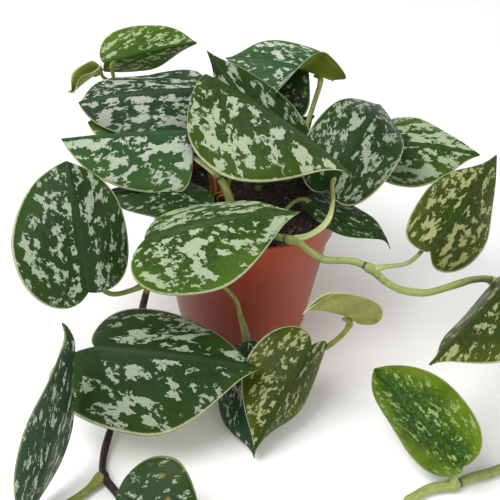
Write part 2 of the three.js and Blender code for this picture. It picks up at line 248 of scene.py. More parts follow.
def makeSilverGroup():
    # Silver blotches in the blade's own place: x runs along the blade from side vein to side vein,
    # y outwards from the midrib, z is the share of the way to the margin. A lean turns the cells
    # more square to the midrib. Two sizes of cells, each cell with a random value, and a broad
    # noise are added up, so that a limit on the sum leaves clusters of cells with stepped edges.
    # The midrib's band and the last of the margin stay green.
    tree, given, out = newGroup("silverBlotches", {
        "Place": "NodeSocketVector", "Seed": "NodeSocketFloat", "Cover": "NodeSocketFloat",
        "Size": "NodeSocketFloat",
    }, {"Silver": "NodeSocketFloat", "Body": "NodeSocketFloat"})
    sizes = silverSizes
    place = partsOf(tree, given["Place"])
    outward = calc(tree, "ABSOLUTE", place[1])
    side = times(tree, calc(tree, "SIGN", place[1]), sizes["sideShift"])
    lean = plus(tree, place[0], times(tree, outward, sizes["lean"]))
    across = times(tree, lean, calc(tree, "DIVIDE", sizes["acrossCount"], given["Size"]))
    along = plus(tree, times(tree, outward, calc(tree, "DIVIDE", sizes["alongCount"], given["Size"])), side)
    flat = put(tree, "ShaderNodeCombineXYZ", {0: across, 1: along, 2: given["Seed"]}).outputs[0]
    shake = noise(tree, flat, 2.2, 2.5, 0.6)
    centred = put(tree, "ShaderNodeVectorMath", {0: shake.node.outputs["Color"], 1: (0.5, 0.5, 0.5)},
                  operation="SUBTRACT")
    moved = put(tree, "ShaderNodeVectorMath", {0: centred.outputs[0], 1: sizes["ragged"], 2: flat},
                operation="MULTIPLY_ADD")
    coarse = put(tree, "ShaderNodeTexVoronoi", {"Vector": moved.outputs[0], "Scale": 1.0})
    fine = put(tree, "ShaderNodeTexVoronoi", {"Vector": moved.outputs[0], "Scale": sizes["fineScale"]})
    broad = noise(tree, flat, 0.42, 2.0, 0.5)
    random = [put(tree, "ShaderNodeSeparateColor", {0: cells.outputs["Color"]}).outputs[0]
              for cells in (coarse, fine)]
    total = plus(tree, times(tree, random[0], sizes["coarseShare"]),
                 times(tree, random[1], sizes["fineShare"]))
    total = plus(tree, total, times(tree, broad, sizes["broadShare"]))
    bandWidth = plus(tree, times(tree, place[0], sizes["bandTaper"]), sizes["bandWidth"])
    ribShare = calc(tree, "DIVIDE", outward, bandWidth)
    rib = minus(tree, 1.0, step(tree, ribShare, 0.45, 1.0))
    edge = step(tree, place[2], 0.8, 0.97)
    green = plus(tree, times(tree, rib, sizes["ribWeight"]), times(tree, edge, sizes["edgeWeight"]))
    total = minus(tree, total, green)
    limit = minus(tree, sizes["highLimit"], times(tree, given["Cover"], sizes["coverWeight"]))
    silver = step(tree, minus(tree, total, limit), 0.0, 0.03)
    tree.links.new(silver, out["Silver"])
    tree.links.new(shake, out["Body"])
    return tree


def makeVeinGroup():
    # side veins: thin lines at even steps across the veins, fading at the midrib and the margin
    tree, given, out = newGroup("sideVeins", {"Place": "NodeSocketVector", "Count": "NodeSocketFloat"},
                                {"Line": "NodeSocketFloat"})
    place = partsOf(tree, given["Place"])
    outward = calc(tree, "ABSOLUTE", place[1])
    drift = noise(tree, given["Place"], 5.0, 2.0)
    turn = plus(tree, times(tree, place[0], given["Count"]), times(tree, drift, 0.5))
    wave = calc(tree, "ABSOLUTE", minus(tree, calc(tree, "FRACT", turn), 0.5))
    line = minus(tree, 1.0, step(tree, wave, 0.0, 0.1))
    fade = minus(tree, 1.0, step(tree, outward, 0.55, 0.95))
    tree.links.new(times(tree, line, fade), out["Line"])
    return tree


grainGroup = makeGrainGroup()
dirtGroup = makeDirtGroup()
silverGroup = makeSilverGroup()
veinGroup = makeVeinGroup()
print("node groups made")

# Leaves, in millimetres and degrees.
# base is the sinus, where the petiole joins, and tip the far end of the midrib. face is the way
# the upper surface looks. fold is how far the left and right halves turn down, and a margin turns
# down by cup more. lobe, arch and widestAt are shares of the length: how far the lobes reach back,
# how high the midrib bows, and where the outline is widest. lobe and lobeTurn, which turns the
# blade's base half, can be a pair for left and right. fill closes the sinus, skew widens the left
# half, taper goes from a blunt tip at 0 to a drawn-out one at 1, droop lowers the tip and hook
# turns it aside. wave is the margin's waviness, and edge how pale the margin is.
# stalk is the last two points that the petiole passes before it meets the blade. tone picks the
# green, cover, size and seed set the silver, and blemish 1 adds tan spots.

leafSizes = {
    "rows": 90,
    "columns": 44,
    "thickness": 0.6,
    "ribGroove": 0.25,
    "ribRidge": 0.7,
    "veinDepth": 0.16,
    "veinCount": 7.0,
    "tipLength": 0.045,
}

leafDefaults = dict(
    arch=0.05, lobe=0.12, lobeTurn=(0.0, 0.0), fill=0.75, widestAt=0.36, taper=0.8, skew=0.0, droop=0.0,
    wave=1.6, hook=0.0, size=1.0, edge=0.85, blemish=0, stalk=None)

leaves = {
    "leaf_back_left_high": dict(
        base=(-89, 55, 161), tip=(-36, 75, 166), width=44, face=(0, -0.75, 0.66), fold=(8, 68), cup=6,
        tone="bright", cover=0.48, seed=1, stalk=((-89.5, 58, 149), (-89.5, 56, 158)), taper=0.4),
    "leaf_back_left_young": dict(
        base=(-98, 58, 152), tip=(-115, 42, 143), width=22, face=(-0.3, -0.6, 0.75), fold=(-45, -45),
        cup=-25, lobe=0.08, tone="young", cover=0.1, seed=2, hook=-5,
        stalk=((-97, 64, 144), (-98.5, 61, 150)), taper=0.2),
    "leaf_left_upper": dict(
        base=(-27, 36, 151), tip=(-107, 26, 146), width=60, face=(0, -0.3, 0.95), fold=(34, 10), cup=8,
        lobe=0.06, tone="cool", cover=0.6, seed=3, taper=0.1, wave=3.0),
    "leaf_left_under": dict(
        base=(-38, 41, 125), tip=(-103, 27, 131), width=44, face=(0, -0.3, 0.95), fold=(14, 14), cup=10,
        tone="fresh", cover=0.35, seed=4, taper=0.0),
    "leaf_left_folded": dict(
        base=(-34, 8, 139), tip=(-111, -12, 142), width=80, face=(0, -0.1, 1), arch=0.02, fold=(56, 66),
        cup=0, lobe=0, tone="mixed", cover=0.58, seed=5, stalk=((-37, 5, 126), (-35, 8, 134)), taper=0.3,
        widestAt=0.16),
    "leaf_left_low": dict(
        base=(-26, -8, 103.5), tip=(-86, -18, 107), width=42, face=(0, -0.25, 0.97), arch=0.03, fold=(6, 30),
        cup=4, lobe=0.1, tone="deep", cover=0.32, size=0.9, seed=6, taper=0.3, edge=0.35),
    "leaf_left_hanging": dict(
        base=(-88, -88, 93), tip=(-102, -45, 147), width=72, face=(0.25, -0.75, 0.6), fold=(12, 12), cup=8,
        lobe=(0.22, 0.1), skew=0.14, tone="deep", cover=0.45, size=0.8, seed=37, taper=0.12),
    "leaf_front_centre": dict(
        base=(-54.5, -80, 120), tip=(29, -72, 136), width=78, face=(0, -0.3, 0.95), arch=0.07, fold=(26, 28),
        cup=10, lobe=(0.03, 0.14), fill=0.0, tone="fresh", cover=0.56, size=0.9, seed=38),
    "leaf_crown": dict(
        base=(-20.5, 20, 169), tip=(57, -46, 149), width=86, face=(0.1, -0.25, 1), fold=(74, 42), cup=2,
        lobe=0.09, skew=-0.14, tone="rich", cover=0.52, seed=9, stalk=((-14, 15, 150), (-18.5, 18, 162)),
        wave=2.0),
    "leaf_crown_back": dict(
        base=(29, 12, 117), tip=(-26, 57, 167), width=56, face=(-0.3, -0.75, 0.6), arch=0.04, fold=(10, 36),
        cup=6, tone="deep", cover=0.5, seed=10),
    "leaf_back_right_high": dict(
        base=(48, 62, 151), tip=(-15, 78, 154), width=54, face=(0, -0.35, 0.93), arch=0.07, fold=(25, 2),
        cup=6, lobe=(0.3, 0.14), lobeTurn=(-122, 0), tone="mixed", cover=0.46, seed=11,
        stalk=((45, 54, 141), (47, 58, 147.5)), taper=0.6),
    "leaf_right_round": dict(
        base=(54, -25, 129), tip=(86, 35, 151), width=62, face=(0.1, -0.55, 0.83), arch=0.22, fold=(10, 10),
        cup=12, droop=8, tone="deep", cover=0.5, size=0.9, seed=12, stalk=((53, -36, 119), (52.4, -29, 126)),
        taper=0.0),
    "leaf_back_right_inner": dict(
        base=(9, 62, 123), tip=(40, 88, 149), width=48, face=(0.1, -0.5, 0.85), fold=(10, 10), cup=6,
        tone="deep", cover=0.35, size=0.9, seed=13),
    "leaf_inner_small": dict(
        base=(20, 38, 124), tip=(44, 52, 126), width=28, face=(0, -0.2, 1), fold=(10, 10), cup=10,
        tone="deep", cover=0.1, seed=14),
    "leaf_right_back": dict(
        base=(87, 32, 119), tip=(150, 24, 117.5), width=57, face=(0, -0.3, 0.95), fold=(4, 20), cup=6,
        tone="fresh", cover=0.62, seed=15),
    "leaf_right_low": dict(
        base=(40.4, -23.6, 109), tip=(89, -47, 98.4), width=32, face=(0.1, -0.7, 0.7), fold=(40, 26), cup=4,
        lobe=0.08, skew=0.3, tone="deep", cover=0.3, size=0.8, seed=16, hook=-4,
        stalk=((30, -18, 104), (36, -20, 108.6)), edge=0.35),
    "leaf_right_far": dict(
        base=(113, -60, 109), tip=(156, 5, 128), width=58, face=(0.35, -0.5, 0.8), fold=(26, 14), cup=10,
        skew=-0.1, tone="olive", cover=0.5, size=0.85, seed=17),
    "leaf_right_edge": dict(
        base=(156, -84, 107), tip=(106, -127, 77), width=70, face=(0.1, -0.65, 0.75), arch=0.04,
        fold=(8, 84), cup=4, tone="olive", cover=0.4, size=0.8, seed=18,
        stalk=((163, -74, 100), (159, -80, 107))),
    "leaf_right_ground": dict(
        base=(123, -156, 31), tip=(79, -108, 51), width=54, face=(0.1, -0.72, 0.7), arch=0.04, fold=(50, 4),
        cup=4, lobe=0.1, blemish=1, tone="lime", cover=0.32, size=0.7, seed=19, taper=0.1, edge=0.35),
    "leaf_front_young": dict(
        base=(64, -94, 77), tip=(35, -99, 88), width=46, face=(0, 0.1, 1), fold=(-58, -100), cup=-4,
        lobe=(0.45, 0.35), skew=0.2, tone="young", cover=0.1, seed=20, hook=4, taper=0.7, fill=0.2,
        stalk=((61, -92.5, 65), (63.2, -94, 73))),
    "leaf_front_olive": dict(
        base=(40.5, -100, 56), tip=(11, -138, 13), width=59, face=(-0.2, -0.75, 0.62), fold=(60, 4), cup=6,
        lobe=0.16, fill=0.35, skew=-0.05, tone="olive", cover=0.4, size=0.8, seed=21,
        stalk=((40, -92, 46), (40.2, -96.9, 53))),
    "leaf_front_dark": dict(
        base=(2, -80, 34), tip=(10, -137, 6), width=50, face=(-0.3, -0.75, 0.5), fold=(10, 10), cup=8,
        tone="cool", cover=0.38, size=0.9, seed=22, edge=0.35),
    "leaf_left_large": dict(
        base=(-83, -110, 64), tip=(10, -116, 57), width=92, face=(0, -0.4, 0.9), arch=0.04, fold=(24, 16),
        cup=8, lobe=(0.05, 0.25), fill=0.0, skew=-0.04, tone="deep", cover=0.42, size=0.95, seed=23),
    "leaf_left_narrow": dict(
        base=(-107, -180, 21), tip=(-92, -120, 86), width=50, face=(0.85, -0.45, 0.3), fold=(-6, 24), cup=0,
        tone="cool", cover=0.42, size=0.9, seed=24, hook=7, edge=0.35),
    "leaf_front_ground": dict(
        base=(-59, -190, 25), tip=(-14, -204, 24), width=57, face=(0, -0.6, 0.8), fold=(4, -10), cup=4,
        skew=0.12, blemish=1, tone="deep", cover=0.3, size=0.7, seed=25, edge=0.35),
    "leaf_back_left_trailing": dict(
        base=(-32, 78, 92), tip=(-50, 100, 24), width=60, face=(-0.1, 1, 0.3), arch=0.06, fold=(12, 12),
        cup=8, lobe=0.13, fill=0.3, tone="fresh", cover=0.42, seed=26),
    "leaf_back_right_trailing": dict(
        base=(32, 78, 94), tip=(34, 106, 28), width=64, face=(0.1, 1, 0.3), arch=0.06, fold=(14, 12), cup=8,
        lobe=0.13, fill=0.3, tone="deep", cover=0.46, seed=27),
}
leaves = {name: {**leafDefaults, **given} for name, given in leaves.items()}

# Each tone: the green of the blade's middle, the green nearer the margin, and the silver.
leafTones = {
    "deep": (colour(0.011, 0.029, 0.006), colour(0.022, 0.052, 0.008), colour(0.36, 0.42, 0.31)),
    "fresh": (colour(0.017, 0.042, 0.006), colour(0.058, 0.120, 0.012), colour(0.43, 0.50, 0.35)),
    "rich": (colour(0.014, 0.033, 0.004), colour(0.040, 0.082, 0.007), colour(0.43, 0.48, 0.35)),
    "bright": (colour(0.026, 0.064, 0.005), colour(0.062, 0.122, 0.008), colour(0.37, 0.44, 0.24)),
    "lime": (colour(0.012, 0.047, 0.005), colour(0.125, 0.200, 0.006), colour(0.26, 0.36, 0.16)),
    "mixed": (colour(0.024, 0.066, 0.024), colour(0.050, 0.112, 0.024), colour(0.58, 0.64, 0.54)),
    "olive": (colour(0.018, 0.034, 0.002), colour(0.056, 0.080, 0.004), colour(0.38, 0.39, 0.19)),
    "cool": (colour(0.016, 0.038, 0.018), colour(0.034, 0.066, 0.032), colour(0.48, 0.52, 0.42)),
    "young": (colour(0.110, 0.170, 0.030), colour(0.230, 0.290, 0.065), colour(0.50, 0.52, 0.32)),
}


def cubic(a, b, c, d, q):
    p = 1.0 - q
    return p**3 * a + 3 * p**2 * q * b + 3 * p * q**2 * c + q**3 * d


def leafFrame(leaf):
    # the base, the length, and unit vectors along the midrib, up from the face and to the left
    base = np.array(leaf["base"], dtype=float)
    along = np.array(leaf["tip"], dtype=float) - base
    length = np.linalg.norm(along)
    along = along / length
    up = unit(np.array(leaf["face"], dtype=float))
    up = unit(up - along * (up @ along))
    return base, length, along, up, np.cross(up, along)


def bladeSurface(leaf, s, t, skin):
    # Middle surface: s runs round the outline from the sinus to the tip and t from the right
    # margin to the left one. The outline's half is two cubic arcs that meet where it is widest,
    # and the surface between the midrib and the outline turns down by the fold and the cup.
    # The skin, 1 above and -1 below, adds half of the thickness, the groove or ridge of the
    # midrib, the sunken veins and the margin's waves, all along the turned normal.
    base, length, along, up, left = leafFrame(leaf)
    sizes = leafSizes
    side = np.sign(t)
    k = np.abs(t)
    lobe = np.where(t > 0, *np.broadcast_to(leaf["lobe"], 2))
    widest = leaf["widestAt"]
    fill = leaf["fill"]
    notch = -fill * np.min(leaf["lobe"])
    taper = leaf["taper"]
    first = s < 0.5
    q = np.where(first, 2.0 * s, 2.0 * s - 1.0)
    reach = np.where(first, cubic(notch, -(2.0 - 0.9 * fill) * lobe, -0.9 * lobe, widest, q),
        cubic(widest, 0.6 + 0.06 * taper, 0.97 - 0.17 * taper, 1.0, q))
    spread = np.where(first, cubic(0, 0.25, 1, 1, q), cubic(1, 1, 0.72 - 0.55 * taper, 0, q))
    drip = np.clip((s - 0.88) / 0.12, 0.0, 1.0) ** 2
    reach = reach + sizes["tipLength"] * taper * drip
    rib = s**1.8 + notch * (1.0 - s) ** 6 + sizes["tipLength"] * taper * drip
    u = rib + (reach - rib) * k**1.2
    forward = length * u
    halfWidth = leaf["width"] / 2.0 * (1.0 + leaf["skew"] * side)
    across = halfWidth * spread * k
    fold = np.where(t > 0, leaf["fold"][0], leaf["fold"][1])
    lobeTurn = np.where(t > 0, *leaf["lobeTurn"])
    turn = np.radians(fold + leaf["cup"] * k + lobeTurn * (1.0 - smooth(0.36, 0.58, s)))
    w = across / halfWidth
    veinPlace = u - 0.75 * w**1.2
    bow = leaf["arch"] * length * 4.0 * u * (1.0 - u) - leaf["droop"] * smooth(0.45, 1.1, u)
    phase = leaf["seed"] * 1.7
    wave = leaf["wave"] * k**3 * np.sin(2.0 * math.pi * (2.1 * s + 0.27 * side) + phase)
    veins = -sizes["veinDepth"] * hill((np.mod(veinPlace * sizes["veinCount"], 1.0) - 0.5) * 2.0, 0.35)
    veins = veins * smooth(0.02, 0.15, w) * (1.0 - smooth(0.7, 0.95, k))
    ribShape = np.where(skin > 0, -sizes["ribGroove"] * hill(across, 1.3),
        -sizes["ribRidge"] * hill(across, 1.6))
    ribShape = ribShape * (1.0 - 0.6 * u) * smooth(0.0, 0.06, s) * (1.0 - drip)
    body = skin * sizes["thickness"] / 2.0 * np.sqrt(np.clip(1.0 - k**10, 0.0, 1.0))
    roll = -0.8 * smooth(0.9, 1.0, k) * smooth(0.05, 0.3, s) * (1.0 - drip)
    lift = body + ribShape + veins + wave + roll
    hook = leaf["hook"] * drip**1.5
    normal = np.cos(turn)[..., None] * up + (side * np.sin(turn))[..., None] * left
    points = base + forward[..., None] * along
    points = points + (side * across * np.cos(turn) + hook)[..., None] * left
    rise = bow - across * np.sin(turn) - 0.25 * np.abs(hook)
    points = points + rise[..., None] * up + lift[..., None] * normal
    place = np.stack([veinPlace, side * w, k], axis=-1)
    return points, place


def makeLeaf(name, leaf):
    # the two skins share the margin, and each end closes on one point
    rows, columns = leafSizes["rows"], leafSizes["columns"]
    s = np.linspace(0.0, 1.0, rows + 1)[1:-1] ** 1.05
    x = np.linspace(-1.0, 1.0, columns + 1)
    t = np.sin(x * math.pi / 2.0) * 0.55 + x * 0.45
    s, t = np.meshgrid(s, t, indexing="ij")
    upper, upperPlace = bladeSurface(leaf, s, t, 1.0)
    lower, lowerPlace = bladeSurface(leaf, s, t, -1.0)
    ends, endPlace = bladeSurface(leaf, np.array([[1e-4], [1.0]]), np.zeros((2, 1)), 1.0)
    count = s.size
    above = np.arange(count).reshape(s.shape)
    below = above.copy()
    below[:, 1:-1] = count + np.arange(count - 2 * len(s)).reshape(len(s), -1)
    points = np.vstack([upper.reshape(-1, 3), lower[:, 1:-1].reshape(-1, 3), ends.reshape(-1, 3)])
    points[:, 2] = np.maximum(points[:, 2], 0.4)
    place = np.vstack([upperPlace.reshape(-1, 3), lowerPlace[:, 1:-1].reshape(-1, 3),
        endPlace.reshape(-1, 3)])
    under = np.zeros(len(points))
    under[count:-2] = 1.0
    sinus, tip = len(points) - 2, len(points) - 1
    faces = gridFaces(above) + gridFaces(below[:, ::-1])
    faces += fanFaces(sinus, above[0]) + fanFaces(sinus, below[0], flip=True)
    faces += fanFaces(tip, above[-1], flip=True) + fanFaces(tip, below[-1])
    values = {"bladePlace": place, "bladeUnder": under}
    return makePiece(name + "_blade", points, faces, values, leafMaterial(name, leaf), [name])


def leafMaterial(name, leaf):
    # upper face: green that freshens towards the margin, side veins, silver blotches with a fine
    # grain, and a pale line along the margin; under face: pale smooth green with darker veins
    young = leaf["tone"] == "young"
    inner, outer, silver = leafTones[leaf["tone"]]
    material, tree, shader, where = newMaterial(name + "_surface", Sheen_Weight=0.0, Specular_IOR_Level=0.10)
    place = attribute(tree, "bladePlace", "Vector")
    apart = partsOf(tree, place)
    under = step(tree, attribute(tree, "bladeUnder"), 0.3, 0.6)
    blotches = placeGroup(tree, silverGroup, {
        "Place": place, "Seed": leaf["seed"] * 3.1, "Cover": leaf["cover"], "Size": leaf["size"]})
    veins = placeGroup(tree, veinGroup, {"Place": place, "Count": leafSizes["veinCount"]})
    grain = placeGroup(tree, grainGroup, {"Vector": where, "Scale": 2600.0})
    patches = noise(tree, where, 60.0, 3.0, 0.6, 0.5)
    outward = plus(tree, times(tree, apart[2], 0.75), times(tree, patches, 0.8))
    green = blend(tree, step(tree, outward, 0.55, 1.35), inner, outer)
    mottle = noise(tree, where, 420.0, 4.0, 0.7)
    green = blend(tree, step(tree, mottle, 0.42, 0.72), green, blend(tree, 0.5, green, outer))
    paleRib = minus(tree, 1.0, step(tree, calc(tree, "ABSOLUTE", apart[1]), 0.008, 0.05))
    green = blend(tree, times(tree, paleRib, 0.03), green, colour(0.16, 0.26, 0.10))
    green = blend(tree, times(tree, veins["Line"], 0.16), green, colour(0.015, 0.05, 0.015))
    shine = blend(tree, times(tree, grain["Tone"], 0.5), silver, blend(tree, 0.35, silver, outer))
    shine = blend(tree, times(tree, step(tree, grain["Height"], 0.72, 0.4), 0.35), shine, outer)
    upper = blend(tree, times(tree, blotches["Silver"], 0.94), green, shine)
    if leaf["blemish"]:
        spot = noise(tree, where, 75.0, 1.0, 0.4)
        tan = step(tree, spot, 0.70, 0.76)
        upper = blend(tree, times(tree, tan, 0.8), upper, colour(0.30, 0.22, 0.05))
    marginNoise = times(tree, blotches["Body"], 0.035)
    nearTip = times(tree, step(tree, apart[0], 0.55, 1.0), 0.05)
    margin = step(tree, plus(tree, plus(tree, apart[2], marginNoise), nearTip), 0.965, 1.0)
    upper = blend(tree, times(tree, margin, leaf["edge"]), upper, colour(0.47, 0.50, 0.29))
    if young:
        base, vein = colour(0.27, 0.28, 0.075), colour(0.36, 0.37, 0.15)
    else:
        base, vein = colour(0.17, 0.225, 0.026), colour(0.10, 0.155, 0.018)
    lower = blend(tree, times(tree, veins["Line"], 0.5), base, vein)
    lower = blend(tree, step(tree, patches, 0.35, 0.7), lower,
        blend(tree, 0.6, lower, colour(0.08, 0.14, 0.014)))
    lower = blend(tree, times(tree, margin, 0.7), lower, colour(0.42, 0.40, 0.24))
    both = blend(tree, under, upper, lower)
    drip = step(tree, apart[0], 0.985, 1.035)
    both = blend(tree, times(tree, drip, 0.75), both, colour(0.09, 0.075, 0.035))
    rough = plus(tree, 0.36, times(tree, blotches["Silver"], 0.10))
    rough = plus(tree, rough, times(tree, mottle, 0.10))
    height = plus(tree, grain["Height"], times(tree, blotches["Silver"], 0.8))
    height = plus(tree, height, times(tree, mottle, 1.2))
    wear(tree, shader, both, rough, height, 0.00006, 0.8)
    return material


for leafName, leafGiven in leaves.items():
    makeLeaf(leafName, leafGiven)
print("leaves made:", len(leaves))

# Stems and petioles.
# main is the run that carries the rest, sides are runs that start inside it, and each petiole
# starts inside a run and goes to its leaf. fresh picks the green, darkBelow is the height under
# which the main run has turned dark, and floorSwell how much thicker it is low down.

stemSizes = {
    "stationStep": 1.0,
    "ringSides": 20,
    "petioleRadius": 1.3,
    "footRadius": 1.0,
    "footLength": 7.0,
    "neckRadius": 0.35,
    "nodeSwell": 0.34,
    "nodeLength": 2.6,
    "channelDepth": 0.2,
    "rootRadius": 0.55,
    "rootSides": 10,
    "rootTop": 106.0,
    "nodeReach": 3.0,
    "scarPlace": 3.4,
    "scarDepth": 0.07,
    "sideShare": 0.9,
    "sideAge": 0.25,
}

stemDefaults = {"darkBelow": 0, "floorSwell": 0.0, "sides": []}

stems = {
    "crown_left": {
        "radius": 2.6, "fresh": 0.35,
        "main": [(-14, 6, 88.6), (-18, 20, 98), (-30, 48, 108), (-52, 68, 118), (-76, 70, 130),
            (-90, 66, 138)],
        "petioles": {
            "leaf_back_left_high": [(-87, 67, 136), (-89, 63, 140)],
            "leaf_back_left_young": [(-86, 67, 136), (-91, 66, 139)],
            "leaf_left_upper": [(-18, 20, 98), (-18, 29, 118)],
            "leaf_left_under": [(-20, 26, 99), (-30, 40, 108)],
            "leaf_crown": [(-14, 6, 90), (-10, 1, 112), (-10, 5, 132)],
        },
    },
    "crown_front": {
        "radius": 2.9, "fresh": 0.6,
        "main": [(-8, -8, 87.6), (-11, -8, 103), (-19, -2, 116)],
        "petioles": {
            "leaf_left_folded": [(-18, -3, 114)],
            "leaf_left_low": [(-9, -8, 92)],
        },
    },
    "crown_right": {
        "radius": 2.6, "fresh": 0.5,
        "main": [(8, 16, 88.6), (9, 22, 99), (12, 30, 110)],
        "petioles": {
            "leaf_crown_back": [(9, 22, 98), (21, 25, 103)],
            "leaf_back_right_high": [(11, 27, 105), (24, 27, 108), (35, 34, 119), (41, 45, 131)],
            "leaf_back_right_inner": [(11, 28, 107), (9, 46, 111)],
            "leaf_inner_small": [(12, 29, 108), (15, 33, 113)],
            "leaf_right_back": [(9, 20, 96), (38, 24, 97), (62, 32, 102)],
        },
    },
    "back_vine": {
        "radius": 2.3, "fresh": 0.4,
        "main": [(0, 36, 87.8), (0, 52, 98), (0, 64, 103), (0, 71, 98)],
        "petioles": {
            "leaf_back_left_trailing": [(-1, 67, 101), (-16, 65, 99)],
            "leaf_back_right_trailing": [(1, 67, 101), (16, 65, 99)],
        },
    },
    "left_vine": {
        "radius": 2.4, "fresh": 0.1, "darkBelow": 78,
        "main": [
            (-20, -18, 88.4), (-34, -34, 97), (-43, -46, 102.5), (-50, -56, 92), (-57, -63, 71),
            (-61, -66, 55), (-63, -68, 44), (-67, -80, 27), (-73, -102, 10), (-77, -124, 4.6),
            (-78, -140, 4.2), (-76, -154, 4.6), (-67, -166, 4.6), (-62, -174, 5)],
        "sides": [[(-66, -78, 30), (-52, -76, 18), (-30, -66, 9), (4, -61, 8), (28, -70, 12), (40, -78, 26),
            (44, -83, 38)]],
        "petioles": {
            "leaf_left_hanging": [(-57, -62, 73), (-66, -70, 73), (-78, -75, 74)],
            "leaf_left_large": [(-69, -88, 20), (-75, -98, 34)],
            "leaf_left_narrow": [(-76, -154, 4.6), (-85, -166, 4), (-98, -177, 4), (-110, -183, 5)],
            "leaf_front_ground": [(-63, -173, 5), (-62, -182, 10)],
            "leaf_front_centre": [(4, -61, 8), (4, -66, 30), (0, -71, 54), (-5, -74, 74), (-30, -74, 98)],
            "leaf_front_dark": [(2, -62, 9), (1, -68, 18)],
            "leaf_front_olive": [(43, -81, 33)],
            "leaf_front_young": [(43, -82, 35), (52, -86, 46)],
        },
    },
    "right_vine": {
        "radius": 2.3, "fresh": 0.55, "floorSwell": 0.4,
        "main": [
            (6, -22, 88.4), (15, -42, 97), (24, -54, 103.5), (33, -60, 105), (40, -66, 103), (48, -70, 101),
            (59, -74, 104), (66, -78, 106), (73, -82, 105), (82, -86, 99), (90, -90, 97), (104, -90, 95),
            (113, -88, 96), (123, -83, 96), (136, -73, 92), (150, -63, 83), (166, -64, 68), (179, -84, 46),
            (180, -108, 24), (168, -132, 7), (150, -143, 4.6), (136, -148, 4.6), (126, -153, 4.6),
            (112, -156, 4.2), (96, -166, 4)],
        "petioles": {
            "leaf_right_low": [(13, -38, 95), (21, -26, 97)],
            "leaf_right_round": [(28, -57, 104), (41, -53, 107), (50, -45, 111)],
            "leaf_right_far": [(73, -82, 105), (81, -80, 105), (97, -70, 101)],
            "leaf_right_edge": [(150, -63, 83), (161, -66, 89)],
            "leaf_right_ground": [(126, -153, 4.6)],
        },
    },
}
stems = {name: {**stemDefaults, **given} for name, given in stems.items()}

# How many times as thick as the others these petioles are.
thickPetioles = {
    "leaf_left_narrow": 1.65,
    "leaf_right_ground": 1.35,
    "leaf_front_young": 1.35,
    "leaf_back_right_high": 1.35,
    "leaf_left_hanging": 1.2,
}

# How far each winged petiole flares, as a share of its radius, and over what share of its length.
wings = {
    "leaf_front_centre": (0.9, 0.42),
    "leaf_right_round": (0.9, 0.7),
    "leaf_left_folded": (0.7, 0.6),
    "leaf_right_far": (0.35, 0.5),
    "leaf_crown": (0.4, 0.4),
}


def curveThrough(points):
    # centripetal Catmull-Rom curve through the points, at even steps of length
    p = np.array(points, dtype=float)
    p = np.vstack([2 * p[0] - p[1], p, 2 * p[-1] - p[-2]])
    share = np.linspace(0.0, 1.0, 24, endpoint=False)[:, None]
    spans = []
    for a, b, c, d in zip(p[:-3], p[1:-2], p[2:-1], p[3:]):
        t1 = np.linalg.norm(b - a) ** 0.5
        t2 = t1 + np.linalg.norm(c - b) ** 0.5
        t3 = t2 + np.linalg.norm(d - c) ** 0.5
        t = t1 + (t2 - t1) * share
        ab = (t1 - t) / t1 * a + t / t1 * b
        bc = (t2 - t) / (t2 - t1) * b + (t - t1) / (t2 - t1) * c
        cd = (t3 - t) / (t3 - t2) * c + (t - t2) / (t3 - t2) * d
        abc = (t2 - t) / t2 * ab + t / t2 * bc
        bcd = (t3 - t) / (t3 - t1) * bc + (t - t1) / (t3 - t1) * cd
        spans.append((t2 - t) / (t2 - t1) * abc + (t - t1) / (t2 - t1) * bcd)
    path = np.vstack(spans + [p[-2:-1]])
    distance = np.concatenate([[0.0], np.cumsum(np.linalg.norm(np.diff(path, axis=0), axis=1))])
    stations = max(6, int(distance[-1] / stemSizes["stationStep"]))
    even = np.linspace(0.0, distance[-1], stations + 1)
    return np.stack([np.interp(even, distance, path[:, i]) for i in range(3)], axis=1), even


def carriedFrames(path, top):
    # the upper side of the section is carried from station to station and kept square to the path
    tangents = unit(np.gradient(path, axis=0))
    tops = np.empty_like(path)
    for i, tangent in enumerate(tangents):
        top = unit(top - tangent * (top @ tangent))
        tops[i] = top
    return tops, np.cross(tangents, tops)


def sweep(path, top, radii, shape, sides):
    # rings of points round a path, then its two ends: radii give the size at each station, and
    # shape(angle, share of the length) the section's outline, with angle 0 on the upper side
    tops, across = carriedFrames(path, top)
    angles = np.arange(sides) * (2.0 * math.pi / sides)
    share = np.linspace(0.0, 1.0, len(path))[:, None]
    size = radii[:, None] * shape(angles[None, :], share)
    ring = path[:, None] + size[..., None] * (
        np.cos(angles)[None, :, None] * tops[:, None] + np.sin(angles)[None, :, None] * across[:, None])
    return np.vstack([ring.reshape(-1, 3), path[:1], path[-1:]])


def rounded(distance, start, end):
    # a share that falls to 0 in a quarter circle at each end, so that a skin closes smoothly
    near = np.clip(distance / start, 0.0, 1.0)
    far = np.clip((distance[-1] - distance) / end, 0.0, 1.0)
    return np.sqrt(np.clip(1 - (1 - near) ** 2, 0.0, 1.0)) * np.sqrt(np.clip(1 - (1 - far) ** 2, 0.0, 1.0))


def petiolePath(route, leaf):
    # the route, then up under the blade, and last a short way along the underside of its midrib
    base, _, along, up, _ = leafFrame(leaf)
    ends = leaf["stalk"] or (base - 11.1 * up + 4.0 * along, base - 3.1 * up + 0.5 * along)
    return list(route) + [ends[0], ends[1], base - 1.5 * up + 1.2 * along, base - 1.3 * up + 6.0 * along]


def ridgedSection(angle, share):
    # nearly round, with three low ridges
    return 1.0 + 0.03 * np.cos(3 * angle) + 0 * share


def roundSection(angle, share):
    return 1.0 + 0 * angle * share


